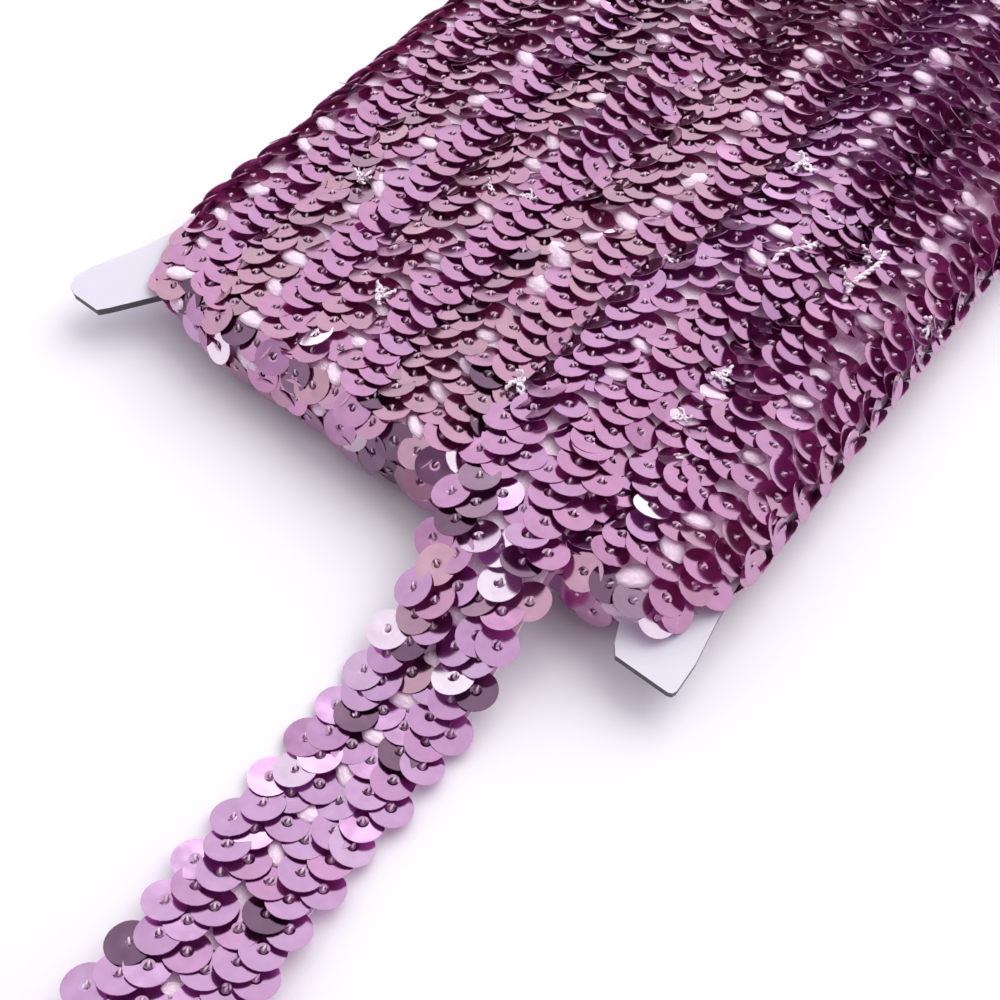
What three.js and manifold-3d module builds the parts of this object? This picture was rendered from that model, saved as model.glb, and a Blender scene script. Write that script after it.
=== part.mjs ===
// A length of sequin trim wound lengthwise round a notched card, with its loose end lying on the table.
// Millimetres, +Z up, +Y along the card away from the loose end, +X across it.
// The origin is under the middle of the whole thing, on the surface that it lies on.
import * as THREE from 'three';
import { mergeVertices } from 'three/addons/utils/BufferGeometryUtils.js';
import Module from 'manifold-3d';

const wasm = await Module();
wasm.setup();

// The card: a stiff hand-cut board, with a notch in each short end that keeps the turns in.
const card = {
  halfWaist: 57,
  halfLength: 100,
  thickness: 1.4,
  middleHeight: 6.9,
  notchDepth: 10,
  flareLength: 20,
};

// The two tabs beside the near notch, from the middle of the card outwards, and how far each reaches along.
// The far end is cut the same, turned half round.
const tabs = [
  { side: -1, innerRoot: 46.6, innerEnd: 53.4, outer: 62.8, cornerRadius: 2.6, end: 101.8 },
  { side: 1, innerRoot: 44.8, innerEnd: 48.3, outer: 59.5, cornerRadius: 0.9, end: 99.1 },
];

// The trim, over its sequins, as it is wound.
const trim = { width: 24.2, thickness: 2, laneGroove: 0.7 };

// Two pieces that touch keep this much apart.
const seatGap = 0.3;

// The wound body. Reaches are measured from the card's middle plane.
const wound = {
  leftSide: -56.4,
  rightSide: 58.6,
  leftSideAtNose: -49.5,
  rightSideAtNose: 53.2,
  narrowingLength: 26,
  underLayersTop: 4.8,
  underLayersBottom: 5.1,
  bandHeight: 2.2,
  noseReach: 7.4,
  sideRounding: 7,
  sideReach: 2.2,
};

// The turns that show, from left to right: the middle of each on the far part of the card, on the near part
// and where it goes round the card's end, how far it lies above its neighbours, and the phase of its slow
// wander from side to side.
const turns = [
  { far: -50, near: -50, nose: -43.5, lift: -1.0, phase: 0.4 },
  { far: -32.5, near: -32.5, nose: -27.5, lift: 0.1, phase: 2.1 },
  { far: -16, near: -14.5, nose: -11.2, lift: 0.3, phase: 3.7 },
  { far: 8, near: 2.2, nose: 5, lift: -0.1, phase: 1.2 },
  { far: 27, near: 22.3, nose: 25, lift: 0.4, phase: 5.1 },
  { far: 47.7, near: 47.3, nose: 44.5, lift: -0.4, phase: 0.9 },
];
const drift = { from: -28, to: -43 };
const wander = { reach: 0.3, waves: 2.3 };

// The loose end. Its underside follows these places along the card, above the surface and across: it lies
// on the last turn, comes off at the card's end, drops, is pressed flat on the surface for a while and lifts
// a little at its cut end. Off the card it is a little narrower, as nothing presses it flat any more.
const looseEnd = {
  stations: 46,
  freeWidth: 22.6,
  freeFrom: -94,
  freeTo: -112,
  roomAbove: 6,
  route: [
    { along: -76, above: 11.9, middle: 22.4 },
    { along: -84, above: 11.9, middle: 23.1 },
    { along: -91, above: 11.7, middle: 24.3 },
    { along: -97, above: 10.7, middle: 25.5 },
    { along: -102, above: 8.9, middle: 26.8 },
    { along: -108, above: 6.1, middle: 28 },
    { along: -114, above: 3.1, middle: 28.5 },
    { along: -119, above: 1.1, middle: 28.8 },
    { along: -124, above: 0.1, middle: 29 },
    { along: -130, above: -0.2, middle: 29.2 },
    { along: -140, above: -0.1, middle: 29.4 },
    { along: -152, above: 1.1, middle: 29.8 },
    { along: -165, above: 3.2, middle: 31.6 },
    { along: -180, above: 5.4, middle: 32.5 },
    { along: -196, above: 5.6, middle: 33 },
  ],
};

// How finely the faceted solids are cut.
const steps = { across: 60, flatRun: 20, nose: 8 };

// The whole thing reaches from the loose end's cut end to the card's far edge, and its middle is the origin.
const reachFront = looseEnd.route[looseEnd.route.length - 1].along;
const reachBack = Math.max(...tabs.map((tab) => tab.end));
const originAlong = (reachFront + reachBack) / 2;

const boardWhite = new THREE.MeshStandardMaterial({ color: 0xe6e4ea, roughness: 0.6, metalness: 0 });
const orchidSequins = new THREE.MeshStandardMaterial({ color: 0xb57aae, roughness: 0.25, metalness: 0.8 });
const orchidLooseEnd = new THREE.MeshStandardMaterial({ color: 0xc68fc2, roughness: 0.25, metalness: 0.8 });

function smoothStep(from, to, value) {
  const t = THREE.MathUtils.clamp((value - from) / (to - from), 0, 1);
  return t * t * (3 - 2 * t);
}

// A closed mesh from rings of points, all with the same count. A loop of rings joins its last ring to its
// first; a run of rings is closed with a flat cap at each end.
function geometryFromRings(rings, isLoop) {
  const size = rings[0].length;
  const index = [];
  const last = isLoop ? rings.length : rings.length - 1;
  for (let ring = 0; ring < last; ring++) {
    const here = ring * size;
    const next = ((ring + 1) % rings.length) * size;
    for (let k = 0; k < size; k++) {
      const k2 = (k + 1) % size;
      index.push(here + k, here + k2, next + k2, here + k, next + k2, next + k);
    }
  }
  if (!isLoop) {
    const end = (rings.length - 1) * size;
    for (let k = 1; k < size - 1; k++) {
      index.push(0, k + 1, k, end, end + k, end + k + 1);
    }
  }
  const geometry = new THREE.BufferGeometry();
  geometry.setAttribute('position', new THREE.Float32BufferAttribute(rings.flat(2), 3));
  geometry.setIndex(index);
  return geometry;
}

function solidFromGeometry(geometry) {
  const bare = geometry.clone();
  bare.deleteAttribute('normal');
  bare.deleteAttribute('uv');
  const merged = mergeVertices(bare, 1e-4);
  const vertProperties = new Float32Array(merged.getAttribute('position').array);
  const triVerts = new Uint32Array(merged.getIndex().array);
  return new wasm.Manifold(new wasm.Mesh({ numProp: 3, vertProperties, triVerts }));
}

function geometryFromSolid(solid) {
  const mesh = solid.getMesh();
  const geometry = new THREE.BufferGeometry();
  geometry.setAttribute('position', new THREE.BufferAttribute(mesh.vertProperties, 3));
  geometry.setIndex(new THREE.BufferAttribute(mesh.triVerts, 1));
  geometry.computeVertexNormals();
  return geometry;
}

// One tab's outline from the notch's floor round to the waist, as distances from the card's middle.
// Extra is how far the outline is grown, for the room that the turns leave it.
function tabOutline(tab, extra) {
  const end = tab.end + extra;
  const flare = tab.outer - card.halfWaist;
  const round = tab.cornerRadius;
  return [
    { across: tab.innerRoot - extra, along: card.halfLength - card.notchDepth + extra },
    { across: tab.innerEnd - extra, along: end - 1.5 },
    { across: tab.innerEnd + 1.2 - extra, along: end },
    { across: tab.outer - round + extra, along: end },
    { across: tab.outer - round * 0.3 + extra, along: end - round * 0.3 },
    { across: tab.outer + extra, along: end - round },
    { across: tab.outer - flare * 0.12 + extra, along: end - card.flareLength * 0.3 },
    { across: tab.outer - flare * 0.68 + extra, along: end - card.flareLength * 0.68 },
    { across: card.halfWaist + extra, along: end - card.flareLength },
  ];
}

function cardGeometry(extra, thickness) {
  const nearEnd = tabs.flatMap((tab) => {
    const places = tabOutline(tab, extra);
    const points = places.map(({ across, along }) => new THREE.Vector2(tab.side * across, -along));
    return tab.side < 0 ? points.reverse() : points;
  });
  const farEnd = nearEnd.map((point) => point.clone().negate());
  const outline = new THREE.Shape([...nearEnd, ...farEnd]);
  const board = new THREE.ExtrudeGeometry(outline, { depth: thickness, bevelEnabled: false });
  board.translate(0, 0, card.middleHeight - thickness / 2);
  return board;
}

// The height of one turn's back over the layers under it, from 0 at its edges to 1 on its two lanes.
function turnProfile(offset) {
  const q = Math.abs(offset) / (trim.width / 2);
  if (q >= 1) return 0;
  const groove = (trim.laneGroove / wound.bandHeight) * Math.exp(-((q / 0.14) ** 2));
  return 1 - q ** 3 - groove;
}

// Towards the card's ends the turns draw together to get into the notch.
function drawnIn(flat, nose, along) {
  const from = card.halfLength - wound.narrowingLength;
  return THREE.MathUtils.lerp(flat, nose, smoothStep(from, card.halfLength - 2, Math.abs(along)));
}

function turnMiddle(turn, along) {
  const flat = THREE.MathUtils.lerp(turn.far, turn.near, smoothStep(-drift.from, -drift.to, -along));
  const sway = wander.reach * Math.sin(turn.phase + (wander.waves * Math.PI * along) / card.halfLength);
  return drawnIn(flat + sway, turn.nose, along);
}

// The stations round the card: a point on its middle plane and the way out from there.
function loopStations() {
  const edge = card.halfLength - card.notchDepth;
  const stations = [];
  for (const side of [1, -1]) {
    for (let k = 0; k < steps.flatRun; k++) {
      const base = side * (-edge + (2 * edge * k) / steps.flatRun);
      stations.push({ base, along: base, outY: 0, outZ: side });
    }
    for (let k = 0; k < steps.nose; k++) {
      const angle = (Math.PI * k) / steps.nose;
      const outY = side * Math.sin(angle);
      const along = side * edge + outY * wound.noseReach;
      stations.push({ base: side * edge, along, outY, outZ: side * Math.cos(angle) });
    }
  }
  return stations;
}

// How far the wound body reaches from the card's middle plane, at one place across and one station.
function woundReach(x, left, right, station) {
  const upward = Math.max(0, station.outZ);
  const under = THREE.MathUtils.lerp(wound.underLayersBottom, wound.underLayersTop, upward);
  const noseExtra = (wound.noseReach - under - wound.bandHeight) * Math.abs(station.outY);
  let band = 0;
  for (const turn of turns) {
    const profile = turnProfile(x - turnMiddle(turn, station.along));
    if (profile > 0) band = Math.max(band, profile * wound.bandHeight + turn.lift * Math.sqrt(profile));
  }
  const inFromSide = THREE.MathUtils.clamp(Math.min(x - left, right - x) / wound.sideRounding, 0, 1);
  const rounding = Math.sqrt(1 - (1 - inFromSide) ** 2);
  return THREE.MathUtils.lerp(wound.sideReach, under + noseExtra + band, rounding);
}

// The sleeve of turns, before room is made in it for the card and the loose end.
function sleeveGeometry() {
  const slot = card.thickness / 2 + seatGap;
  const rings = loopStations().map((station) => {
    const left = drawnIn(wound.leftSide, wound.leftSideAtNose, station.along);
    const right = drawnIn(wound.rightSide, wound.rightSideAtNose, station.along);
    const place = (x, reach) => [
      x,
      station.base + station.outY * reach,
      card.middleHeight + station.outZ * reach,
    ];
    const ring = [];
    for (let k = 0; k <= steps.across; k++) {
      const x = THREE.MathUtils.lerp(left, right, k / steps.across);
      ring.push(place(x, woundReach(x, left, right, station)));
    }
    ring.push(place(right, slot), place(left, slot));
    return ring;
  });
  return geometryFromRings(rings, true);
}

// The loose end's cross-section over its underside: flat below, with its two lanes of sequins above.
function looseEndSection(width) {
  const half = width / 2;
  const high = trim.thickness;
  return [
    { across: -half, up: 0 },
    { across: half, up: 0 },
    { across: half, up: high * 0.55 },
    { across: half * 0.84, up: high * 0.95 },
    { across: half * 0.52, up: high },
    { across: half * 0.2, up: high * 0.92 },
    { across: 0, up: high - trim.laneGroove },
    { across: -half * 0.2, up: high * 0.92 },
    { across: -half * 0.52, up: high },
    { across: -half * 0.84, up: high * 0.95 },
    { across: -half, up: high * 0.55 },
  ];
}

// The room that the wound turns leave for the loose end: a gap at its sides and below, and open above.
function looseEndRoomSection(width) {
  const half = width / 2 + seatGap;
  return [
    { across: -half, up: -seatGap },
    { across: half, up: -seatGap },
    { across: half, up: looseEnd.roomAbove },
    { across: -half, up: looseEnd.roomAbove },
  ];
}

function looseEndGeometry(section, startsEarlier) {
  const route = looseEnd.route.map(({ along, above, middle }) => new THREE.Vector3(middle, along, above));
  const curve = new THREE.CatmullRomCurve3(route, false, 'centripetal');
  const rings = [];
  for (let k = 0; k <= looseEnd.stations; k++) {
    const point = curve.getPointAt(k / looseEnd.stations);
    const tangent = curve.getTangentAt(k / looseEnd.stations);
    if (k === 0) point.addScaledVector(tangent, -startsEarlier);
    const free = smoothStep(-looseEnd.freeFrom, -looseEnd.freeTo, -point.y);
    const width = THREE.MathUtils.lerp(trim.width, looseEnd.freeWidth, free);
    rings.push(
      section(width).map(({ across, up }) => [
        point.x + across,
        point.y - tangent.z * up,
        Math.max(up < 0 ? up : 0, point.z - tangent.y * up),
      ]),
    );
  }
  return geometryFromRings(rings, false);
}

function woundGeometry() {
  const size = 4 * card.halfLength;
  const aboveTable = new THREE.BoxGeometry(size, size, size);
  aboveTable.translate(0, 0, size / 2);
  const sleeve = solidFromGeometry(sleeveGeometry()).intersect(solidFromGeometry(aboveTable));
  const cardRoom = solidFromGeometry(cardGeometry(seatGap, card.thickness + 2 * seatGap));
  const looseEndRoom = solidFromGeometry(looseEndGeometry(looseEndRoomSection, seatGap));
  return geometryFromSolid(sleeve.subtract(cardRoom).subtract(looseEndRoom));
}

function namedMesh(name, geometry, material) {
  const mesh = new THREE.Mesh(geometry, material);
  mesh.name = name;
  return mesh;
}

const sequinTrim = new THREE.Group();
sequinTrim.add(namedMesh('card', cardGeometry(0, card.thickness), boardWhite));
sequinTrim.add(namedMesh('wound_trim', woundGeometry(), orchidSequins));
sequinTrim.add(namedMesh('loose_end', looseEndGeometry(looseEndSection, 0), orchidLooseEnd));
sequinTrim.position.y = -originAlong;

const object = new THREE.Group();
object.add(sequinTrim);

export default object;
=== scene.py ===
import math
import random

import bpy
from mathutils import Matrix, Vector


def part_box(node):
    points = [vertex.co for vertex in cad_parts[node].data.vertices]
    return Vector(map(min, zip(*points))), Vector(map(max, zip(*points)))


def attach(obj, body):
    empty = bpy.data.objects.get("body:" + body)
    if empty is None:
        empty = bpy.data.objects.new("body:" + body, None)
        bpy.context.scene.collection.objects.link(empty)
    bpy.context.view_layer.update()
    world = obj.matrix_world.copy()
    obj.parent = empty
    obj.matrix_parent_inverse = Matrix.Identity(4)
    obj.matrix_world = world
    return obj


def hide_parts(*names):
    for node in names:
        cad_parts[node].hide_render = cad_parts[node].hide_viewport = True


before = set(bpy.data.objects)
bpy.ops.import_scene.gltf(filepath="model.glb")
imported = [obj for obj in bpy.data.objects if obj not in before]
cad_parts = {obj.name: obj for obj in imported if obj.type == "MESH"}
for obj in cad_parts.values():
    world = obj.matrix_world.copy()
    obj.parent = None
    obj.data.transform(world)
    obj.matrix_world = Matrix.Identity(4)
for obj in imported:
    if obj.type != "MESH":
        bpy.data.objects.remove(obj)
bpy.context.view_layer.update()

MM = 0.001

# The card's middle on the table's plane. Places below are in millimetres from there, as in the solids,
# with heights above the table.
card_low, card_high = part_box("card")
CARD_MIDDLE_Y = (card_low[1] + card_high[1]) / 2
CARD_HALF_LENGTH = (card_high[1] - card_low[1]) / 2 / MM
CARD_MIDDLE_HEIGHT = (card_low[2] + card_high[2]) / 2 / MM
CARD_TOP = card_high[2] / MM

# The notch's floor, which the strip goes round, and the stretch before it where the turns draw together. From
# TABS_FROM on, a tab lies under the body's corner.
LONGEST_TAB = 11.8
NOSE_CENTRE = CARD_HALF_LENGTH - LONGEST_TAB
NARROWING_FROM = NOSE_CENTRE - 16
NARROWING_TO = NOSE_CENTRE + 8
TABS_FROM = NARROWING_FROM + 6

# The trim's turns that show: middle on the far part of the card, on its near part and at the card's ends,
# lift over the neighbours, phase of the slow wander, and for the left and the right lane the film's painted
# tone, how far the free edges are fanned to the right and how far they stand up, in degrees. The tone is
# painted reflection: the one film is given a browner, pinker, lighter or darker tint where its lane looks so.
TURNS = [
    {"name": "turn_1", "far": -50, "near": -50, "nose": -43.5, "lift": -1.0, "phase": 0.4,
     "tones": (0.36, 0.44), "fans": (26, -8), "tilts": (11, 13)},
    {"name": "turn_2", "far": -32.5, "near": -32.5, "nose": -27.5, "lift": 0.1, "phase": 2.1,
     "tones": (0.30, 0.48), "fans": (30, -10), "tilts": (11, 13.5)},
    {"name": "turn_3", "far": -16, "near": -14.5, "nose": -11.2, "lift": 0.3, "phase": 3.7,
     "tones": (0.29, 0.47), "fans": (30, -10), "tilts": (11, 13.5)},
    {"name": "turn_4", "far": 8, "near": 2.2, "nose": 5, "lift": -0.1, "phase": 1.2,
     "tones": (0.31, 0.40), "fans": (28, -12), "tilts": (11, 14)},
    {"name": "turn_5", "far": 27, "near": 22.3, "nose": 25, "lift": 0.4, "phase": 5.1,
     "tones": (0.56, 0.50), "fans": (30, -8), "tilts": (12.5, 15)},
    {"name": "turn_6", "far": 47.7, "near": 47.3, "nose": 44.5, "lift": -0.4, "phase": 0.9,
     "tones": (0.46, 0.42), "fans": (-20, -34), "tilts": (19, 23)},
]
# Where along the card the turns go over from their far to their near places, and how they wander.
DRIFT_FROM = -28
DRIFT_TO = -43
WANDER_REACH = 0.3
WANDER_LENGTH = 87

# A turn's section: width, height of its middle over its edges, groove between its two lanes, and how far the
# valley between two turns is filled.
TRIM_WIDTH = 24.2
BAND_HEIGHT = 2.2
LANE_GROOVE = 0.3
VALLEY_FLOOR = 0.9

# The knitted strip under the sequins, measured from the card's middle plane.
KNIT = {
    "left": -54.6, "right": 56.8, "left_nose": -47.6, "right_nose": 50.4,
    "under_top": 3.2, "under_bottom": 2.9, "nose_reach": 4.4,
    "side_rounding": 7.0, "side_reach": 1.4, "thickness": 0.4,
}
# The bend round the notch's floor, and the strip's length round a rounded side.
LOOP_RADIUS = 5.0
SIDE_GIRTH = 9.3

# The sequins: radii of rim, hole and dimple, film and depths of the dish and the dimple.
SEQUIN_RADIUS = 3.05
SEQUIN_HOLE = 0.52
SEQUIN_DIMPLE = 0.86
SEQUIN_FILM = 0.13
SEQUIN_DISH = 0.03
SEQUIN_SINK = 0.13
FILM_CREASE = math.radians(12)

# Columns are places across the strip, in two lanes of four; staggered ones lie half a row on. Where two turns
# lie wide apart, a column of the turn below shows in the valley.
ROW_PITCH = 6.75
LOOSE_ROW_PITCH = 7.25
WOUND_COLUMNS = [-9.0, -6.05, -4.75, -2.0, 2.0, 4.75, 6.05, 9.0]
LOOSE_COLUMNS = [-8.2, -6.0, -4.2, -1.9, 1.9, 4.2, 6.0, 8.2]
STAGGERED = [True, False, True, False, False, True, False, True]
UNDER_COLUMNS = {"turn_3": [11.7], "turn_4": [-11.7], "turn_5": [11.7], "turn_6": [-11.7, 11.6]}
UNDER_DROP = 0.35
OPEN_VALLEY = 20.6
LANE_MIDDLE = 5.5
LANE_HALF = 3.5

# How the discs stand, in degrees: free edges up on the top, fanned at the card's ends, pressed below. In
# each lane the middle discs lie on the inner and outer ones, which lean away.
FAR_TILT = 4.0
NOSE_TILT = 14.0
NOSE_FAN = {"shift": 3, "reach": 9}
PRESSED_TILT = 4.0
LOOSE_TILT = 13.5
LOOSE_SIZE = 1.07
DROPPING_TILT = 20.0
CROWN_LEAN = 6.0
CROWN_LIFT = 0.5
LEFT_EDGE_UP = 1.5
STRAY_SHARE = 0.07
LOOSE_FANS = (34, 14)
# The loose end's lane tones are painted reflection: the same film as turn_5, made lighter and pinker there. A
# share of the dropping discs in each lane take the grey tone, a painted dull reflection.
LOOSE_TONES = (0.70, 0.66)
GREY_REFLECTION_TONE = 0.17
GREY_REFLECTION_SHARE = (0.5, 0.2)
LOOSE_LEAN_SHARE = 0.7
LOOSE_LIFT = 0.75

# How a disc is seated: its middle over the strip, how far from its middle it is sewn down as a share of its
# radius, and the room that its rim keeps over the table or a tab. Past LOOKS_DOWN it faces the table.
SEAT_HEIGHT = 0.25
SEWN_SHARE = 0.82
RIM_ROOM = 0.3
LOOKS_DOWN = -0.35

# How unevenly the discs are sewn: millimetres along and across, degrees of fan, tilt and lean, and tone. The
# outer edge and a few stray discs are less even, and the pressed underside is more so. Past END_FACE, a disc
# lies on the body's end.
WOUND_SPREAD = {
    "along": 0.28, "across": 0.2, "fan": 7, "tilt": 2.8, "lean": 2.6, "tone": 0.055, "nose_tone": 0.13,
}
LOOSE_SPREAD = {"along": 0.3, "across": 0.3, "fan": 9, "tilt": 2.6, "lean": 2.4, "tone": 0.07}
DROPPING_SPREAD = {"turn": 5, "tone": 0.07}
EDGE_UNREST = 1.6
STRAY_UNREST = 2.6
PRESSED_CALM = 0.25
PRESSED_FROM = -0.5
END_FACE = 0.1

# Slow waves along the strip in the discs' tilt and tone: reach, length and how many times the phase counts.
TILT_WAVES = [(2.0, 21.0, 1), (1.5, 8.3, 2)]
TONE_WAVES = [(0.04, 33.0, 3)]

# The turn that ends as the loose end, and where its own discs and gathers stop on the body's upper face.
LOOSE_TURN = "turn_5"
LOOSE_TURN_DISCS_TO = -77.8
LOOSE_TURN_GATHERS_TO = -74.5
UPPER_FACE = 0.62

# At the card's ends no disc is sewn where a tab comes out of the body, and the discs over it lie flatter.
TAB_SIDES = (-45.5, 42.6)
TAB_ROOM = 0.8
TAB_FLATTENING = 1.5

# Single discs, by their places on the card, painted almost white as a painted glint or dark as a painted dark
# reflection.
PAINTED_GLINT_TONE = 0.95
DARK_REFLECTION_TONE = 0.04
PAINTED_GLINT_DISCS = [
    (39.7, -78.5), (50, -91), (13.8, -91.4), (32.5, -93.7), (29.2, -98.7), (29.9, -103.2), (20.4, -117),
    (33.2, -115.3), (-21, -86.5), (-5, -94.2), (-32, -95.5),
]
DARK_REFLECTION_DISCS = [
    (8, -75.6), (11.8, -80.5), (41.8, -90.7), (-43.8, -90.9), (-31, -92), (-20.5, -94.6), (-5.5, -88.5),
    (18.2, -99.5), (25.4, -115.2), (37.4, -112.5), (23.6, -127.5), (34.6, -129.3), (24.2, -169.1),
    (34.1, -158.1),
]

# Loose fluff that stands out between the discs: place across and along the card.
FLUFF = [
    (41.5, -24), (41, -17), (32, -22), (32.5, -15), (55, -22.5), (22, -7), (-10.4, -42), (-17.6, -44),
    (16, -38), (-16.4, -74), (-35.6, -56.5), (40.5, -68), (11.2, -73), (35.2, -62), (35, -52),
]

# Cut ends of the two-ply sewing thread that lie over the discs: place across and along the card at each end.
THREAD_ENDS = [((42.9, -28.2), (42.4, -14.2)), ((29.6, -29.2), (33.0, -19.7))]
THREAD_PLY = 0.28
THREAD_TWIST = 2.4
THREAD_STEP = 0.5
THREAD_HEIGHT = 2.0
THREAD_SWAY = 0.7
THREAD_DROP = 1.2

# The loose end's underside: along the card, height and place across.
LOOSE_ROUTE = [
    (-76, 11.9, 22.4), (-84, 11.9, 23.1), (-91, 11.7, 24.3), (-97, 10.7, 25.5), (-102, 8.9, 26.8),
    (-108, 6.1, 28), (-114, 3.1, 28.5), (-119, 1.1, 28.8), (-124, 0.1, 29), (-130, 0, 29.2),
    (-140, 0, 29.4), (-152, 1.1, 29.8), (-165, 3.2, 31.6), (-180, 5.4, 32.5), (-196, 5.6, 33),
]
LOOSE_FREE = {"from": -94, "to": -112, "width": 22.6}
DROP_FOOT = (-122, -112)
DROP_TOP = (-96, -88)
ON_BODY = (-96, -86)
CUT_MARGIN = 2.2

# The loose end's knitted strip. The outer discs stand out past its two edges by SELVAGE in all.
SELVAGE = 5.0
STRIP_WIDTH = LOOSE_FREE["width"] - SELVAGE
LOOSE_KNIT_TOP = 0.7
LOOSE_KNIT_THICKNESS = 0.6
KNIT_CREASE = math.radians(50)

# The gathers of the strip: half sizes along, across and out, share of the rows without one, lift over the
# strip on the body and on the loose end, degrees of unevenness on each, room over the table, and place of
# those in the open valley beside a turn.
PUCKER_HALF = (1.75, 2.9, 0.75)
PUCKERS_MISSING = 0.35
PUCKER_LIFTS = (0.2, 0.9)
PUCKER_UNEVENNESS = (25, 5)
PUCKER_ROOM = 1.3
VALLEY_OFFSET = 12.5


def in_frame(point):
    """A place in millimetres from the card's middle, in the frame's metres."""
    return Vector((point[0] * MM, point[1] * MM + CARD_MIDDLE_Y, point[2] * MM))


def smooth_step(start, end, value):
    t = min(1.0, max(0.0, (value - start) / (end - start)))
    return t * t * (3 - 2 * t)


def mix(a, b, t):
    return a + (b - a) * t


def drawn_in(flat, nose, along):
    """Towards the card's ends the turns draw together to get into the notch."""
    return mix(flat, nose, smooth_step(NARROWING_FROM, NARROWING_TO, abs(along)))


def turn_middle(turn, along):
    flat = mix(turn["far"], turn["near"], smooth_step(-DRIFT_FROM, -DRIFT_TO, -along))
    sway = WANDER_REACH * math.sin(turn["phase"] + 2 * math.pi * along / WANDER_LENGTH)
    return drawn_in(flat + sway, turn["nose"], along)


def turn_profile(offset):
    q = abs(offset) / (TRIM_WIDTH / 2)
    if q >= 1:
        return 0.0
    return 1 - q ** 3 - LANE_GROOVE / BAND_HEIGHT * math.exp(-((q / 0.14) ** 2))


RUN_LENGTH = 2 * NOSE_CENTRE
ARC_LENGTH = math.pi * LOOP_RADIUS
LOOP_LENGTH = 2 * (RUN_LENGTH + ARC_LENGTH)


def loop_station(s):
    """Where the strip is, s along it from the far end of the top: place on the card, and the way out."""
    s %= LOOP_LENGTH
    if s < RUN_LENGTH:
        return NOSE_CENTRE - s, 0.0, 1.0
    s -= RUN_LENGTH
    if s < ARC_LENGTH:
        return -NOSE_CENTRE, -math.sin(s / LOOP_RADIUS), math.cos(s / LOOP_RADIUS)
    s -= ARC_LENGTH
    if s < RUN_LENGTH:
        return -NOSE_CENTRE + s, 0.0, -1.0
    s -= RUN_LENGTH
    return NOSE_CENTRE, math.sin(s / LOOP_RADIUS), -math.cos(s / LOOP_RADIUS)


def knit_sides(along):
    left = drawn_in(KNIT["left"], KNIT["left_nose"], along)
    right = drawn_in(KNIT["right"], KNIT["right_nose"], along)
    return left, right


def knit_point(x, s):
    """A point of the strip's outer side on the wound body."""
    base, out_y, out_z = loop_station(s)
    along = base + out_y * KNIT["nose_reach"]
    left, right = knit_sides(along)
    under = mix(KNIT["under_bottom"], KNIT["under_top"], max(0.0, out_z))
    nose_extra = (KNIT["nose_reach"] - under - BAND_HEIGHT) * abs(out_y)
    band = VALLEY_FLOOR
    for turn in TURNS:
        profile = turn_profile(x - turn_middle(turn, along))
        if profile > 0:
            band = max(band, profile * BAND_HEIGHT + turn["lift"] * math.sqrt(profile))
    inward = min(1.0, max(0.0, min(x - left, right - x) / KNIT["side_rounding"]))
    rounding = math.sqrt(1 - (1 - inward) ** 2)
    reach = mix(KNIT["side_reach"], under + nose_extra + band, rounding)
    return Vector((x, base + out_y * reach, CARD_MIDDLE_HEIGHT + out_z * reach))


def wrapped(x, left, right):
    """Where a place across ends up once the strip is laid round the body's rounded sides."""
    for side, way in ((left, 1), (right, -1)):
        past = (side - x) * way + KNIT["side_rounding"]
        if past > 0:
            angle = min(math.radians(88), math.pi / 2 * past / SIDE_GIRTH)
            return side + way * KNIT["side_rounding"] * (1 - math.sin(angle))
    return x


def knit_frame(x, s):
    """The strip's outer side at x and s: point, way along, way across and way out."""
    step = 0.4
    along = (knit_point(x, s + step) - knit_point(x, s - step)).normalized()
    across = knit_point(x + step, s) - knit_point(x - step, s)
    across = (across - along * across.dot(along)).normalized()
    return knit_point(x, s), along, across, along.cross(across)


def loose_value(along, column):
    """A smooth curve through one column of the loose end's route."""
    rows = LOOSE_ROUTE
    k = 0
    while k < len(rows) - 2 and along < rows[k + 1][0]:
        k += 1
    before, here, there, after = (rows[max(0, min(len(rows) - 1, i))] for i in (k - 1, k, k + 1, k + 2))
    span = there[0] - here[0]
    t = (along - here[0]) / span
    slope_here = (there[column] - before[column]) / (there[0] - before[0])
    slope_there = (after[column] - here[column]) / (after[0] - here[0])
    a = 2 * t ** 3 - 3 * t ** 2 + 1
    b = t ** 3 - 2 * t ** 2 + t
    c = -2 * t ** 3 + 3 * t ** 2
    d = t ** 3 - t ** 2
    return a * here[column] + b * span * slope_here + c * there[column] + d * span * slope_there


def loose_stations(step):
    """Places at even steps along the loose end's middle line: (along, middle line point)."""
    stations = []
    travelled = 0.0
    wanted = 0.0
    along = LOOSE_ROUTE[0][0]
    point = Vector((loose_value(along, 2), along, loose_value(along, 1)))
    while along > LOOSE_ROUTE[-1][0]:
        if travelled >= wanted:
            stations.append(along)
            wanted += step
        along -= 0.05
        nearer = Vector((loose_value(along, 2), along, loose_value(along, 1)))
        travelled += (nearer - point).length
        point = nearer
    return stations


def loose_frame(offset, along):
    """The loose end's underside at a place across and along it: point, along, across, out."""
    def middle(at):
        at = min(LOOSE_ROUTE[0][0], max(LOOSE_ROUTE[-1][0], at))
        return Vector((loose_value(at, 2), at, max(0.0, loose_value(at, 1))))
    way = (middle(along - 0.3) - middle(along + 0.3)).normalized()
    out = Vector((0, way.z, -way.y)).normalized()
    across = Vector((1, 0, 0))
    return middle(along) + across * offset, way, across, out


def loose_width(along):
    """The loose end is a little narrower than the wound trim, as nothing presses it flat."""
    return mix(TRIM_WIDTH, LOOSE_FREE["width"], free_share(along))


def free_share(along):
    return smooth_step(-LOOSE_FREE["from"], -LOOSE_FREE["to"], -along)


# Materials

# A wave texture repeats once in this length at a scale of 1.
WAVE_PERIOD = math.pi / 10


def new_material(name):
    material = bpy.data.materials.new(name)
    material.use_nodes = True
    nodes = material.node_tree.nodes
    links = material.node_tree.links
    return material, nodes, links, nodes["Principled BSDF"]


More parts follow.
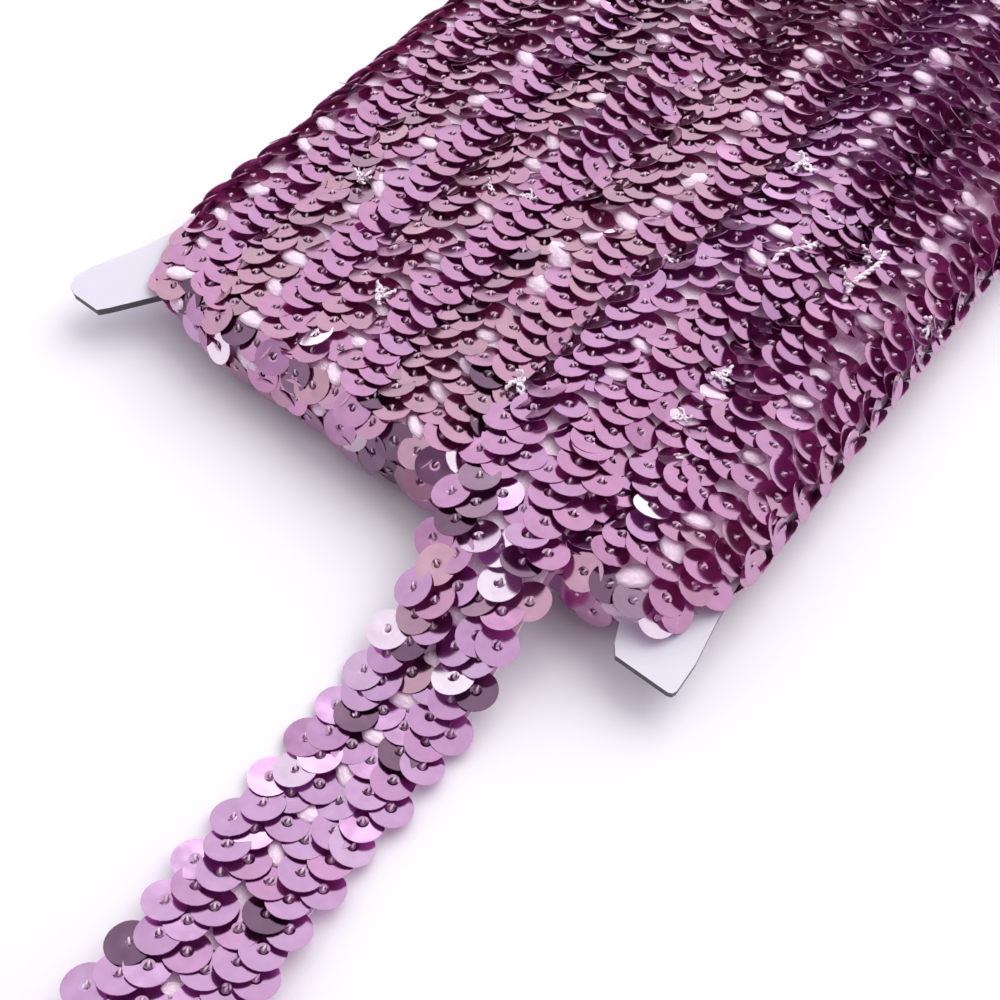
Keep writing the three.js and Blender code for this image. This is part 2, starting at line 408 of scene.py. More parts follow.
def ramp(nodes, stops):
    node = nodes.new("ShaderNodeValToRGB")
    node.color_ramp.elements.remove(node.color_ramp.elements[1])
    node.color_ramp.elements[0].position = stops[0][0]
    node.color_ramp.elements[0].color = (*stops[0][1], 1)
    for place, color in stops[1:]:
        node.color_ramp.elements.new(place).color = (*color, 1)
    return node


def noise(nodes, links, coordinates, scale, detail=2.0, roughness=0.5):
    node = nodes.new("ShaderNodeTexNoise")
    node.inputs["Scale"].default_value = scale
    node.inputs["Detail"].default_value = detail
    node.inputs["Roughness"].default_value = roughness
    links.new(coordinates, node.inputs["Vector"])
    return node


def map_range(nodes, links, value, low, high):
    node = nodes.new("ShaderNodeMapRange")
    node.inputs["To Min"].default_value = low
    node.inputs["To Max"].default_value = high
    links.new(value, node.inputs["Value"])
    return node


def mix_color(nodes, links, share, first, second, blend="MIX"):
    node = nodes.new("ShaderNodeMix")
    node.data_type = "RGBA"
    node.blend_type = blend
    for socket, value in ((node.inputs[0], share), (node.inputs[6], first), (node.inputs[7], second)):
        if isinstance(value, bpy.types.NodeSocket):
            links.new(value, socket)
        elif socket == node.inputs[0]:
            socket.default_value = value
        else:
            socket.default_value = (*value, 1)
    return node.outputs[2]


def bump(nodes, links, shader, height, strength, distance):
    node = nodes.new("ShaderNodeBump")
    node.inputs["Strength"].default_value = strength
    node.inputs["Distance"].default_value = distance
    links.new(height, node.inputs["Height"])
    links.new(node.outputs["Normal"], shader.inputs["Normal"])
    return node


def sequin_film():
    """Metallised orchid film: a mirror whose tint differs a little from disc to disc at random, with painted
    reflection in its lane tones and single discs, and painted shade on its undersides.
    """
    material, nodes, links, shader = new_material("orchid_sequin_film")
    tint = nodes.new("ShaderNodeAttribute")
    tint.attribute_name = "tint"
    place = nodes.new("ShaderNodeTexCoord").outputs["Object"]
    # The tone ramp runs from dark plum through rose-brown and orchid to near white. Its dark and near-white
    # ends serve the painted dark reflections and painted glints.
    tones = ramp(nodes, [
        (0.0, (0.15, 0.08, 0.13)), (0.14, (0.35, 0.23, 0.33)), (0.28, (0.56, 0.34, 0.42)),
        (0.45, (0.58, 0.30, 0.49)), (0.62, (0.57, 0.33, 0.55)), (0.80, (0.59, 0.38, 0.60)),
        (1.0, (1.0, 0.92, 0.98)),
    ])
    links.new(tint.outputs["Fac"], tones.inputs["Fac"])
    clouds = noise(nodes, links, place, 420, 3.0)
    share = map_range(nodes, links, clouds.outputs["Fac"], 0.80, 1.08)
    color = mix_color(nodes, links, 1.0, tones.outputs["Color"], share.outputs["Result"], "MULTIPLY")
    # The undersides, marked by the under attribute, get painted shade: a darker, more saturated magenta. They
    # are also made rougher.
    under = nodes.new("ShaderNodeAttribute")
    under.attribute_name = "under"
    underside_shade = mix_color(nodes, links, under.outputs["Fac"], (1.0, 1.0, 1.0), (1.5, 0.75, 1.35))
    color = mix_color(nodes, links, 1.0, color, underside_shade, "MULTIPLY")
    links.new(color, shader.inputs["Base Color"])
    shader.inputs["Metallic"].default_value = 1.0
    gloss = map_range(nodes, links, clouds.outputs["Fac"], 0.08, 0.24)
    duller = nodes.new("ShaderNodeMath")
    duller.operation = "MULTIPLY_ADD"
    duller.inputs[1].default_value = 0.4
    links.new(under.outputs["Fac"], duller.inputs[0])
    links.new(gloss.outputs["Result"], duller.inputs[2])
    links.new(duller.outputs["Value"], shader.inputs["Roughness"])
    waves = noise(nodes, links, place, 240, 1.0)
    bump(nodes, links, shader, waves.outputs["Fac"], 0.16, 0.0004)
    return material


def knit_cloth():
    """The pale knitted strip that the sequins are sewn to. Its map is in millimetres."""
    material, nodes, links, shader = new_material("pale_knit_strip")
    uv = nodes.new("ShaderNodeTexCoord").outputs["UV"]
    waves = []
    for direction, millimetres, distortion in (("X", 0.8, 1.2), ("Y", 0.6, 2.0)):
        wave = nodes.new("ShaderNodeTexWave")
        wave.wave_type = "BANDS"
        wave.bands_direction = direction
        wave.inputs["Scale"].default_value = WAVE_PERIOD / millimetres
        wave.inputs["Distortion"].default_value = distortion
        wave.inputs["Detail"].default_value = 1.0
        links.new(uv, wave.inputs["Vector"])
        waves.append(wave)
    knit = nodes.new("ShaderNodeMath")
    knit.operation = "MULTIPLY"
    links.new(waves[0].outputs["Fac"], knit.inputs[0])
    links.new(waves[1].outputs["Fac"], knit.inputs[1])
    place = nodes.new("ShaderNodeTexCoord").outputs["Object"]
    patches = noise(nodes, links, place, 90, 3.0)
    color = mix_color(nodes, links, knit.outputs["Value"], (0.90, 0.68, 0.84), (1.0, 0.92, 0.98))
    share = map_range(nodes, links, patches.outputs["Fac"], 0.0, 0.5)
    color = mix_color(nodes, links, share.outputs["Result"], color, (0.97, 0.80, 0.93))
    links.new(color, shader.inputs["Base Color"])
    shader.inputs["Roughness"].default_value = 0.7
    shader.inputs["Sheen Weight"].default_value = 0.25
    bump(nodes, links, shader, knit.outputs["Value"], 0.3, 0.0003)
    return material


def fibre(name, scale, darker, paler):
    """A fine fibre whose colour runs from a darker to a paler tone along it."""
    material, nodes, links, shader = new_material(name)
    place = nodes.new("ShaderNodeTexCoord").outputs["Object"]
    fibres = noise(nodes, links, place, scale, 2.0)
    color = mix_color(nodes, links, fibres.outputs["Fac"], darker, paler)
    links.new(color, shader.inputs["Base Color"])
    bump(nodes, links, shader, fibres.outputs["Fac"], 0.3, 0.0001)
    return material, shader


def clear_thread():
    """Thin translucent thread that ties each sequin down."""
    material, shader = fibre("clear_pink_thread", 1500, (0.72, 0.48, 0.64), (0.98, 0.82, 0.94))
    shader.inputs["Roughness"].default_value = 0.3
    shader.inputs["Transmission Weight"].default_value = 0.15
    return material


def fluff_fibre():
    """White and palest pink fibres of the loose fluff."""
    material, shader = fibre("white_fluff_fibre", 1200, (0.92, 0.74, 0.88), (0.99, 0.96, 0.98))
    shader.inputs["Roughness"].default_value = 0.6
    shader.inputs["Sheen Weight"].default_value = 0.4
    return material


def white_board():
    """Coated board: smooth pale bluish-grey faces where it lies flat, and near-black fibrous cut edges."""
    material, nodes, links, shader = new_material("white_winding_board")
    place = nodes.new("ShaderNodeTexCoord").outputs["Object"]
    geometry = nodes.new("ShaderNodeNewGeometry")
    split = nodes.new("ShaderNodeSeparateXYZ")
    links.new(geometry.outputs["True Normal"], split.inputs["Vector"])
    upright = nodes.new("ShaderNodeMath")
    upright.operation = "ABSOLUTE"
    links.new(split.outputs["Z"], upright.inputs[0])
    is_face = nodes.new("ShaderNodeMath")
    is_face.operation = "GREATER_THAN"
    is_face.inputs[1].default_value = 0.5
    links.new(upright.outputs["Value"], is_face.inputs[0])
    fibres = noise(nodes, links, place, 900, 5.0, 0.7)
    mottle = noise(nodes, links, place, 60, 3.0)
    edge = mix_color(nodes, links, fibres.outputs["Fac"], (0.015, 0.015, 0.017), (0.11, 0.107, 0.11))
    face = mix_color(nodes, links, mottle.outputs["Fac"], (0.67, 0.66, 0.74), (0.75, 0.74, 0.80))
    color = mix_color(nodes, links, is_face.outputs["Value"], edge, face)
    links.new(color, shader.inputs["Base Color"])
    shader.inputs["Roughness"].default_value = 0.5
    bump(nodes, links, shader, fibres.outputs["Fac"], 0.15, 0.0002)
    return material


def pale_table():
    material, nodes, links, shader = new_material("pale_table")
    place = nodes.new("ShaderNodeTexCoord").outputs["Object"]
    grain = noise(nodes, links, place, 3, 2.0)
    color = mix_color(nodes, links, grain.outputs["Fac"], (0.86, 0.87, 0.90), (0.90, 0.90, 0.92))
    links.new(color, shader.inputs["Base Color"])
    shader.inputs["Roughness"].default_value = 0.45
    return material


# Making and placing

def deselect_all():
    if bpy.context.object and bpy.context.object.mode != "OBJECT":
        bpy.ops.object.mode_set(mode="OBJECT")
    bpy.ops.object.select_all(action="DESELECT")


def start_edit():
    bpy.ops.object.mode_set(mode="EDIT")
    bpy.ops.mesh.select_all(action="SELECT")


def end_edit():
    """Turns all faces outward and leaves the mesh."""
    bpy.ops.mesh.select_all(action="SELECT")
    bpy.ops.mesh.normals_make_consistent(inside=False)
    bpy.ops.object.mode_set(mode="OBJECT")


def give_thickness(piece, thickness, side):
    """Thickens a thin surface to both sides where side is 0, and inward where it is -1."""
    wall = piece.modifiers.new("wall", "SOLIDIFY")
    wall.thickness = thickness * MM
    wall.offset = side
    bpy.ops.object.modifier_apply(modifier=wall.name)


def joined(pieces):
    """Joins the pieces into the first of them."""
    deselect_all()
    for piece in pieces:
        piece.select_set(True)
    bpy.context.view_layer.objects.active = pieces[0]
    if len(pieces) > 1:
        bpy.ops.object.join()
    return pieces[0]


def sequin_shape(name, corners, dimpled):
    """One round film disc with its sewing hole, a little dished, lying on XY with its middle at 0."""
    deselect_all()
    bpy.ops.mesh.primitive_circle_add(vertices=corners, radius=SEQUIN_RADIUS * MM, fill_type="NOTHING")
    disc = bpy.context.object
    disc.name = name
    start_edit()
    bpy.ops.mesh.extrude_edges_move()
    if dimpled:
        shrink = SEQUIN_DIMPLE / SEQUIN_RADIUS
        bpy.ops.transform.resize(value=(shrink, shrink, 1))
        bpy.ops.transform.translate(value=(0, 0, -SEQUIN_DISH * MM))
        bpy.ops.mesh.extrude_edges_move()
        shrink = SEQUIN_HOLE / SEQUIN_DIMPLE
    else:
        shrink = SEQUIN_HOLE / SEQUIN_RADIUS
    bpy.ops.transform.resize(value=(shrink, shrink, 1))
    bpy.ops.transform.translate(value=(0, 0, -(SEQUIN_SINK if dimpled else SEQUIN_DISH) * MM))
    end_edit()
    give_thickness(disc, SEQUIN_FILM, 0)
    bpy.ops.object.shade_smooth_by_angle(angle=FILM_CREASE)
    # Marks the underside faces; the film paints shade on them and makes them rougher.
    under = disc.data.attributes.new("under", "FLOAT", "FACE")
    for face, value in zip(disc.data.polygons, under.data):
        value.value = 1.0 if face.normal.z < -0.5 else 0.0
    return disc


def stitch_shape(name):
    """One stitch: out of the hole and over the film a little way towards its sewn-down side."""
    deselect_all()
    sides = 6
    radius = 0.2
    thinner = 0.9
    path = [(0.0, -0.5), (0.0, -0.14), (-0.25, 0.0), (-0.55, 0.02), (-0.8, -0.16)]
    bpy.ops.mesh.primitive_circle_add(vertices=sides, radius=radius * MM, fill_type="NGON")
    thread = bpy.context.object
    thread.name = name
    start_edit()
    bpy.ops.transform.translate(value=(path[0][0] * MM, 0, path[0][1] * MM))
    heading = math.pi / 2
    for start, end in zip(path, path[1:]):
        bpy.ops.mesh.extrude_region_move(
            TRANSFORM_OT_translate={"value": ((end[0] - start[0]) * MM, 0, (end[1] - start[1]) * MM)})
        turned = math.atan2(end[1] - start[1], end[0] - start[0])
        centre = (end[0] * MM, 0, end[1] * MM)
        bpy.ops.transform.rotate(value=turned - heading, orient_axis="Y", center_override=centre)
        if heading == math.pi / 2 and turned != heading:
            bpy.ops.transform.resize(value=(thinner, thinner, thinner), center_override=centre)
        heading = turned
    end_edit()
    bpy.ops.object.shade_smooth()
    return thread


def fluff_shape(name, chance):
    """One tuft of loose fibres, a few thin hairs that curl up from one root."""
    deselect_all()
    hairs = []
    for _ in range(12):
        heading = chance.uniform(0, 2 * math.pi)
        reach = chance.uniform(0.15, 0.42)
        bpy.ops.mesh.primitive_circle_add(vertices=4, radius=0.26 * MM, fill_type="NGON")
        hair = bpy.context.object
        start_edit()
        for step in range(7):
            heading += chance.uniform(-1.3, 1.3)
            rise = 0.45 if step < 2 else chance.uniform(-0.3, 0.3)
            bpy.ops.mesh.extrude_region_move(TRANSFORM_OT_translate={"value": (
                reach * math.cos(heading) * MM, reach * math.sin(heading) * MM, rise * MM)})
        end_edit()
        hairs.append(hair)
    tuft = joined(hairs)
    tuft.name = name
    bpy.ops.object.shade_smooth()
    return tuft


def thread_end(start, end, phase):
    """One ply of a thread end that lies on the discs from start to end, twisted round the other ply."""
    first, last = (knit_frame(x, NOSE_CENTRE - along) for x, along in (start, end))
    heading = math.atan2(end[1] - start[1], end[0] - start[0])
    length = math.dist(start, end)
    steps = round(length / THREAD_STEP)
    route = []
    for step in range(steps + 1):
        share = step / steps
        turned = phase + 2 * math.pi * share * length / THREAD_TWIST
        aside = THREAD_PLY * math.cos(turned) + THREAD_SWAY * math.sin(2 * math.pi * share)
        up = THREAD_HEIGHT + THREAD_PLY * math.sin(turned) - THREAD_DROP * abs(2 * share - 1) ** 4
        middle = first[0].lerp(last[0], share)
        route.append(in_frame(middle + Vector((-math.sin(heading) * aside, math.cos(heading) * aside, up))))
    deselect_all()
    bpy.ops.mesh.primitive_circle_add(vertices=6, radius=THREAD_PLY * MM, fill_type="NGON", location=route[0],
                                      rotation=(math.pi / 2, 0, heading + math.pi / 2))
    ply = bpy.context.object
    bpy.ops.object.transform_apply(location=True, rotation=True, scale=True)
    start_edit()
    for here, there in zip(route, route[1:]):
        bpy.ops.mesh.extrude_region_move(TRANSFORM_OT_translate={"value": there - here})
    end_edit()
    bpy.ops.object.shade_smooth()
    return ply


def thread_ends(material):
    """All the loose thread ends, as one piece."""
    piece = joined([thread_end(*ends, phase) for ends in THREAD_ENDS for phase in (0.0, math.pi)])
    piece.name = "thread_ends"
    piece.data.materials.append(material)
    return piece


def pucker_shape(name):
    """One bulge of the strip where it is gathered between the rows of stitches."""
    deselect_all()
    bpy.ops.mesh.primitive_uv_sphere_add(segments=10, ring_count=6, radius=1.0 * MM)
    bulge = bpy.context.object
    bulge.name = name
    start_edit()
    bpy.ops.transform.resize(value=PUCKER_HALF)
    bpy.ops.transform.vertex_random(offset=0.16 * MM, seed=4)
    bpy.ops.object.mode_set(mode="OBJECT")
    measured_map(bulge, 6.0, 3.0)
    bpy.ops.object.shade_smooth()
    return bulge


def scatter_group(shape):
    """Puts one copy of the shape on every point, turned and sized by the point's own values."""
    group = bpy.data.node_groups.new("sewn_" + shape.name, "GeometryNodeTree")
    group.interface.new_socket("Geometry", in_out="INPUT", socket_type="NodeSocketGeometry")
    group.interface.new_socket("Geometry", in_out="OUTPUT", socket_type="NodeSocketGeometry")
    nodes, links = group.nodes, group.links
    points = nodes.new("NodeGroupInput")
    result = nodes.new("NodeGroupOutput")
    copies = nodes.new("GeometryNodeInstanceOnPoints")
    piece = nodes.new("GeometryNodeObjectInfo")
    piece.inputs["Object"].default_value = shape
    turn = nodes.new("GeometryNodeInputNamedAttribute")
    turn.data_type = "QUATERNION"
    turn.inputs["Name"].default_value = "turn"
    size = nodes.new("GeometryNodeInputNamedAttribute")
    size.data_type = "FLOAT"
    size.inputs["Name"].default_value = "size"
    real = nodes.new("GeometryNodeRealizeInstances")
    links.new(points.outputs[0], copies.inputs["Points"])
    links.new(piece.outputs["Geometry"], copies.inputs["Instance"])
    links.new(turn.outputs["Attribute"], copies.inputs["Rotation"])
    links.new(size.outputs["Attribute"], copies.inputs["Scale"])
    links.new(copies.outputs["Instances"], real.inputs["Geometry"])
    links.new(real.outputs["Geometry"], result.inputs[0])
    return group


def sewn_copies(name, shape, sewn):
    """Sets a copy of the shape at each of the places, as one piece."""
    deselect_all()
    mesh = bpy.data.meshes.new(name)
    mesh.from_pydata([in_frame(one["place"]) for one in sewn], [], [])
    for value, kind in (("turn", "QUATERNION"), ("size", "FLOAT"), ("tint", "FLOAT")):
        mesh.attributes.new(value, kind, "POINT")
    for value in ("turn", "size", "tint"):
        stored = mesh.attributes[value].data
        for k, one in enumerate(sewn):
            stored[k].value = one[value]
    piece = bpy.data.objects.new(name, mesh)
    bpy.context.scene.collection.objects.link(piece)
    bpy.context.view_layer.objects.active = piece
    piece.select_set(True)
    sewing = piece.modifiers.new("sewing", "NODES")
    sewing.node_group = scatter_group(shape)
    bpy.ops.object.modifier_apply(modifier=sewing.name)
    for spent in ("turn", "size"):
        if spent in piece.data.attributes:
            piece.data.attributes.remove(piece.data.attributes[spent])
    return piece


def sew_on(name, kinds, material):
    """Sews on each kind of shape at its places, joined into one piece."""
    piece = joined([sewn_copies(name, shape, sewn) for shape, sewn in kinds])
    piece.data.materials.clear()
    piece.data.materials.append(material)
    return piece


def plate_turn(along, across, out, tilt, roll):
    """How a disc lies: its free edge, towards along, is lifted by tilt, and it leans sideways by roll."""
    free = along * math.cos(tilt) + out * math.sin(tilt)
    face = out * math.cos(tilt) - along * math.sin(tilt)
    side = across * math.cos(roll) + face * math.sin(roll)
    face = face * math.cos(roll) - across * math.sin(roll)
    return Matrix((free, side, face)).transposed().to_quaternion()


def fanned(along, across, degrees):
    """The ways along and across, turned so that the free edges point more to the right."""
    angle = math.radians(degrees)
    return (along * math.cos(angle) + across * math.sin(angle),
            across * math.cos(angle) - along * math.sin(angle))


def crown(offset):
    """Where a column lies in its lane, from -1 at the left to 1 at the right."""
    return max(-1.2, min(1.2, (offset - math.copysign(LANE_MIDDLE, offset)) / LANE_HALF))


def sewn_place(point, along, across, out, tilt, roll, tint, lift=0.0, ground=0.0):
    """Where a disc sits when its sewn-down edge rests on the strip, and never lower than the ground."""
    seat = SEAT_HEIGHT + SEWN_SHARE * SEQUIN_RADIUS * math.sin(abs(tilt)) + lift
    place = point + out * seat
    turn = plate_turn(along, across, out, tilt, roll)
    face = turn @ Vector((0, 0, 1))
    lowest = place.z - SEQUIN_RADIUS * math.sqrt(max(0.0, 1 - face.z ** 2)) - RIM_ROOM - ground
    place.z -= min(0.0, lowest)
    return {
        "place": place,
        "turn": turn,
        "size": 1.0,
        "tint": min(1.0, max(0.0, tint)),
        "above": out.z > LOOKS_DOWN,
    }


def valley_width(turn, offset, along):
    """How far the next turn on that side lies from this one, both taken at their middles."""
    number = TURNS.index(turn) + (1 if offset > 0 else -1)
    if not 0 <= number < len(TURNS):
        return 2 * TRIM_WIDTH
    return abs(turn_middle(TURNS[number], along) - turn_middle(turn, along))


def wound_tilt(s, proud):
    """How far the free edges stand up, in degrees, round the loop: proud above, pressed flat below."""
    s %= LOOP_LENGTH
    near = RUN_LENGTH + ARC_LENGTH / 2
    far = LOOP_LENGTH - ARC_LENGTH / 2
    below = smooth_step(near - 1, near + 6, s) * (1 - smooth_step(far - 6, far + 1, s))
    shift, reach = NOSE_FAN["shift"], NOSE_FAN["reach"]
    at_nose = max(0.0, 1 - abs(s - near + shift) / reach, 1 - abs(s - far - shift) / reach)
    farther = FAR_TILT * (1 - smooth_step(0.3 * RUN_LENGTH, 0.8 * RUN_LENGTH, s))
    return mix(mix(proud + farther, NOSE_TILT, at_nose), PRESSED_TILT, below)


def slow_wave(waves, s, phase):
    """The sum of the slow waves at s along the strip."""
    return sum(reach * math.sin(s / length + times * phase) for reach, length, times in waves)


def laid_flatter(along, out):
    """The ways along, across and out of a disc that lies over a tab, turned nearer to level."""
    out = (out + Vector((0, 0, TAB_FLATTENING))).normalized()
    along = (along - out * along.dot(out)).normalized()
    return along, out.cross(along), out


def wound_sequins(turn, chance):
    """The places of one turn's sequins, all round the card."""
    sewn = []
    rows = round(LOOP_LENGTH / ROW_PITCH)
    pitch = LOOP_LENGTH / rows
    drift_phase = chance.uniform(0, 2 * math.pi)
    columns = list(zip(WOUND_COLUMNS, STAGGERED))
    columns += [(offset, offset > 0) for offset in UNDER_COLUMNS.get(turn["name"], [])]
    for row in range(rows):
        for offset, staggered in columns:
            s = (row + 0.5 * staggered) * pitch + chance.gauss(0, WOUND_SPREAD["along"])
            base, out_y, out_z = loop_station(s)
            is_under = offset not in WOUND_COLUMNS
            on_loose_end = turn["name"] == LOOSE_TURN and out_z > UPPER_FACE and base < LOOSE_TURN_DISCS_TO
            if on_loose_end and not is_under:
                continue
            middle = turn_middle(turn, base + out_y * KNIT["nose_reach"])
            if is_under and valley_width(turn, offset, base) < OPEN_VALLEY:
                continue
            left, right = knit_sides(base)
            x = wrapped(middle + offset + chance.gauss(0, WOUND_SPREAD["across"]), left, right)
            past_tab_side = not TAB_SIDES[0] < x < TAB_SIDES[1]
            if past_tab_side and abs(out_z) < TAB_ROOM:
                continue
            point, along, across, out = knit_frame(x, s)
            on_tab = past_tab_side and out_z > 0 and abs(base) > TABS_FROM
            if on_tab:
                along, across, out = laid_flatter(along, out)
            lane = 0 if offset < 0 else 1
            lean = crown(offset)
            calm = 1.0 if out_z > PRESSED_FROM else PRESSED_CALM
            edge = EDGE_UNREST if turn is TURNS[-1] and offset > LANE_MIDDLE else 1.0
            stray = STRAY_UNREST if chance.random() < STRAY_SHARE * edge else 1.0
            unrest = calm * edge * stray
            fan = turn["fans"][lane] + unrest * chance.gauss(0, WOUND_SPREAD["fan"])
            along, across = fanned(along, across, fan)
            slow = slow_wave(TILT_WAVES, s, drift_phase)
            tilt = wound_tilt(s, turn["tilts"][lane])
            tilt = math.radians(tilt + calm * (slow + edge * stray * chance.gauss(0, WOUND_SPREAD["tilt"])))
            roll = LEFT_EDGE_UP - CROWN_LEAN * lean + unrest * chance.gauss(0, WOUND_SPREAD["lean"])
            spread = WOUND_SPREAD["tone" if abs(out_y) < END_FACE else "nose_tone"]
            # The lane's tone is painted reflection; the slow wave and the spread vary it at random.
            tint = turn["tones"][lane] + slow_wave(TONE_WAVES, s, drift_phase) + chance.gauss(0, spread)
            lift = -UNDER_DROP if is_under else CROWN_LIFT * max(0.0, 1 - lean ** 2)
            ground = CARD_TOP if on_tab else 0.0
            sewn.append(sewn_place(point, along, across, out, tilt, math.radians(roll), tint, lift, ground))
    return sewn


def loose_sequins(chance):
    """The places of the loose end's sequins."""
    sewn = []
    for start in loose_stations(LOOSE_ROW_PITCH):
        for k, staggered in enumerate(STAGGERED):
            along = start - 0.5 * staggered * LOOSE_ROW_PITCH + chance.gauss(0, LOOSE_SPREAD["along"])
            if along < LOOSE_ROUTE[-1][0] + CUT_MARGIN:
                continue
            offset = mix(WOUND_COLUMNS[k], LOOSE_COLUMNS[k], free_share(along))
            offset += chance.gauss(0, LOOSE_SPREAD["across"])
            point, way, across, out = loose_frame(offset, along)
            dropping = smooth_step(*DROP_FOOT, along) * (1 - smooth_step(*DROP_TOP, along))
            unrest = DROPPING_SPREAD["turn"] * dropping
            lane = 0 if offset < 0 else 1
            way, across = fanned(way, across, LOOSE_FANS[lane] + chance.gauss(0, LOOSE_SPREAD["fan"]))
            tilt = mix(LOOSE_TILT, DROPPING_TILT, dropping) + chance.gauss(0, LOOSE_SPREAD["tilt"] + unrest)
            lean = crown(offset)
            roll = -LOOSE_LEAN_SHARE * CROWN_LEAN * lean + chance.gauss(0, LOOSE_SPREAD["lean"] + unrest)
            # Painted reflection tones: the loose end's blend into turn_5's on the body, and some dropping
            # discs turn grey.
            tone = mix(LOOSE_TONES[lane], TURNS[4]["tones"][lane], smooth_step(*ON_BODY, along))
            if chance.random() < GREY_REFLECTION_SHARE[lane] * dropping:
                tone = GREY_REFLECTION_TONE
            tint = tone + chance.gauss(0, LOOSE_SPREAD["tone"] + DROPPING_SPREAD["tone"] * dropping)
            lift = LOOSE_LIFT + CROWN_LIFT * max(0.0, 1 - lean ** 2)
            tilt, roll = math.radians(tilt), math.radians(roll)
            sewn.append(sewn_place(point, way, across, out, tilt, roll, tint, lift))
            sewn[-1]["size"] = LOOSE_SIZE
    return sewn


def pucker_places(chance):
    """Where the strip bulges up between its two lanes, once in each row, and in the one open valley."""
    sewn = []
    rows = round(LOOP_LENGTH / ROW_PITCH)
    pitch = LOOP_LENGTH / rows
    for turn in TURNS:
        for row in range(rows):
            s = (row + 0.5) * pitch + chance.gauss(0, 0.4)
            base, out_y, out_z = loop_station(s)
            on_loose_end = turn["name"] == LOOSE_TURN and out_z > UPPER_FACE and base < LOOSE_TURN_GATHERS_TO
            if out_z < -0.3 or on_loose_end or chance.random() < PUCKERS_MISSING:
                continue
            middle = turn_middle(turn, base + out_y * KNIT["nose_reach"])
            offsets = [0.0, VALLEY_OFFSET] if turn["name"] == LOOSE_TURN else [0.0]
            for offset in offsets:
                left, right = knit_sides(base)
                x = wrapped(middle + offset + chance.gauss(0, 0.4), left, right)
                sewn.append(pucker_place(*knit_frame(x, s), chance, PUCKER_LIFTS[0], PUCKER_UNEVENNESS[0]))
    for start in loose_stations(LOOSE_ROW_PITCH)[:-1]:
        if chance.random() < PUCKERS_MISSING:
            continue
        along = start - 0.5 * LOOSE_ROW_PITCH
        frame_here = loose_frame(chance.gauss(0, LOOSE_SPREAD["across"]), along)
        sewn.append(pucker_place(*frame_here, chance, PUCKER_LIFTS[1], PUCKER_UNEVENNESS[1]))
    return sewn


def pucker_place(point, along, across, out, chance, lift, unevenness):
    """Where one gather lies, a little askew and never in the table."""
    tilt = math.radians(chance.uniform(-0.5, 1) * unevenness)
    roll = math.radians(chance.gauss(0, 0.5) * unevenness)
    turn = plate_turn(*fanned(along, across, chance.uniform(-40, 40)), out, tilt, roll)
    size = chance.uniform(0.65, 1.25)
    place = point + out * (lift + chance.uniform(-0.1, 0.3))
    place.z = max(place.z, PUCKER_ROOM * size)
    return {"place": place, "turn": turn, "size": size, "tint": 0.5}


def mark_single_discs(pieces):
    """Paints the few discs that show a glint almost white, and those that show a dark reflection dark."""
    upper = [one for places in pieces for one in places if one["above"]]
    for spots, tone in ((PAINTED_GLINT_DISCS, PAINTED_GLINT_TONE), (DARK_REFLECTION_DISCS, DARK_REFLECTION_TONE)):
        for x, along in spots:
            nearest = min(upper, key=lambda one: math.hypot(one["place"].x - x, one["place"].y - along))
            nearest["tint"] = tone


def fluff_places(chance):
    """Where the loose fluff sits on the body's top."""
    sewn = []
    for x, along in FLUFF:
        point, way, across, out = knit_frame(x, NOSE_CENTRE - along)
        turn = plate_turn(*fanned(way, across, chance.uniform(0, 360)), out, 0.0, 0.0)
        place = point + out * chance.uniform(0.4, 0.9)
        sewn.append({"place": place, "turn": turn, "size": chance.uniform(0.7, 1.3), "tint": 0.5})
    return sewn


def measured_map(piece, width, length):
    """Stretches the piece's map, which runs from 0 to 1 both ways, to millimetres."""
    for corner in piece.data.uv_layers.active.data:
        corner.uv = (corner.uv.x * width, corner.uv.y * length)


def wound_knit(material):
    """The strip's turns seen between the sequins: one sleeve round the card."""
    deselect_all()
    across_steps, round_steps = 112, 150
    bpy.ops.mesh.primitive_grid_add(x_subdivisions=across_steps, y_subdivisions=round_steps, size=1)
    sleeve = bpy.context.object
    sleeve.name = "wound_knit"
    for vertex in sleeve.data.vertices:
        across, round_share = vertex.co.x + 0.5, vertex.co.y + 0.5
        s = round_share * LOOP_LENGTH
        base, out_y, _ = loop_station(s)
        left, right = knit_sides(base + out_y * KNIT["nose_reach"])
        vertex.co = in_frame(knit_point(mix(left, right, across), s))
    start_edit()
    bpy.ops.mesh.remove_doubles(threshold=0.01 * MM)
    end_edit()
    measured_map(sleeve, KNIT["right"] - KNIT["left"], LOOP_LENGTH)
    give_thickness(sleeve, KNIT["thickness"], -1)
    bpy.ops.object.shade_smooth_by_angle(angle=KNIT_CREASE)
    sleeve.data.materials.append(material)
    return sleeve


def loose_knit(material):
    """The loose end's knitted strip, a thin sheet with a plain cut end."""
    deselect_all()
    across_steps, along_steps = 24, 130
    bpy.ops.mesh.primitive_grid_add(x_subdivisions=across_steps, y_subdivisions=along_steps, size=1)
    strip = bpy.context.object
    strip.name = "loose_end_knit"
    first, last = LOOSE_ROUTE[0][0], LOOSE_ROUTE[-1][0]
    for vertex in strip.data.vertices:
        share = 0.5 - vertex.co.y
        along = mix(first, last, share)
        point, _, _, out = loose_frame(vertex.co.x * (loose_width(along) - SELVAGE), along)
        vertex.co = in_frame(point + out * LOOSE_KNIT_TOP)
    measured_map(strip, STRIP_WIDTH, first - last)
    give_thickness(strip, LOOSE_KNIT_THICKNESS, -1)
    bpy.ops.object.shade_smooth_by_angle(angle=KNIT_CREASE)
    strip.data.materials.append(material)
    return strip


# The camera, at the photo's height and slant.
CAMERA_PLACE = (89.3, -175.5, 190.0)
CAMERA_TURN = 38.5
CAMERA_SLANT = 58.8
CAMERA_LENS = 50.5


